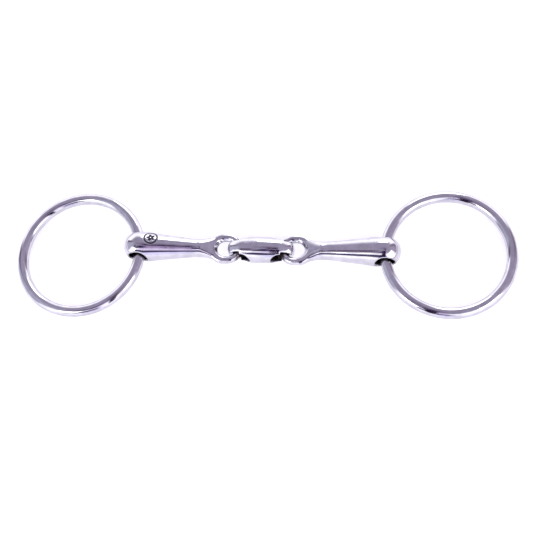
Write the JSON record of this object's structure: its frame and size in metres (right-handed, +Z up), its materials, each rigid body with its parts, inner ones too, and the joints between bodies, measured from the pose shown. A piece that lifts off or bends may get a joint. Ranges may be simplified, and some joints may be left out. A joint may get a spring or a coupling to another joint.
{
  "type": "snaffle bit",
  "caption": "Loose-ring snaffle bit in polished stainless steel: tapered mouthpiece arms linked by an oval lozenge, a round ring running freely through each butt",
  "frame": {"origin": "on the surface the bit lies on, under the middle of its whole outline", "axes": "X along the mouthpiece from the left ring to the right ring, Y across the mouthpiece in the surface's plane, Z up"},
  "size_m": [0.261, 0.0746, 0.016],
  "materials": {
    "ring_steel": "mirror-polished stainless steel rod",
    "mouthpiece_steel": "mirror-polished stainless steel casting"
  },
  "bodies": {
    "link": {"centre_lozenge": "mouthpiece_steel"},
    "left_arm": {"left_cannon": "mouthpiece_steel"},
    "right_arm": {"right_cannon": "mouthpiece_steel"},
    "left_bit_ring": {"left_ring": "ring_steel"},
    "right_bit_ring": {"right_ring": "ring_steel"}
  },
  "joints": [
    {"name": "left_fold", "type": "hinge", "parent": "link", "child": "left_arm", "pos_m": [-0.01175, 0.0018, 0.007], "axis": [0, 1, 0], "range_deg": [-45, 45]},
    {"name": "right_fold", "type": "hinge", "parent": "link", "child": "right_arm", "pos_m": [0.01124, 0.0018, 0.007], "axis": [0, -1, 0], "range_deg": [-45, 45]},
    {"name": "left_ring_swivel", "type": "hinge", "parent": "left_arm", "child": "left_bit_ring", "pos_m": [-0.06426, 0.0018, 0.008], "axis": [0, 1, 0], "range_deg": [-85, 85]},
    {"name": "right_ring_swivel", "type": "hinge", "parent": "right_arm", "child": "right_bit_ring", "pos_m": [0.06374, 0.0018, 0.008], "axis": [0, -1, 0], "range_deg": [-85, 85]}
  ]
}
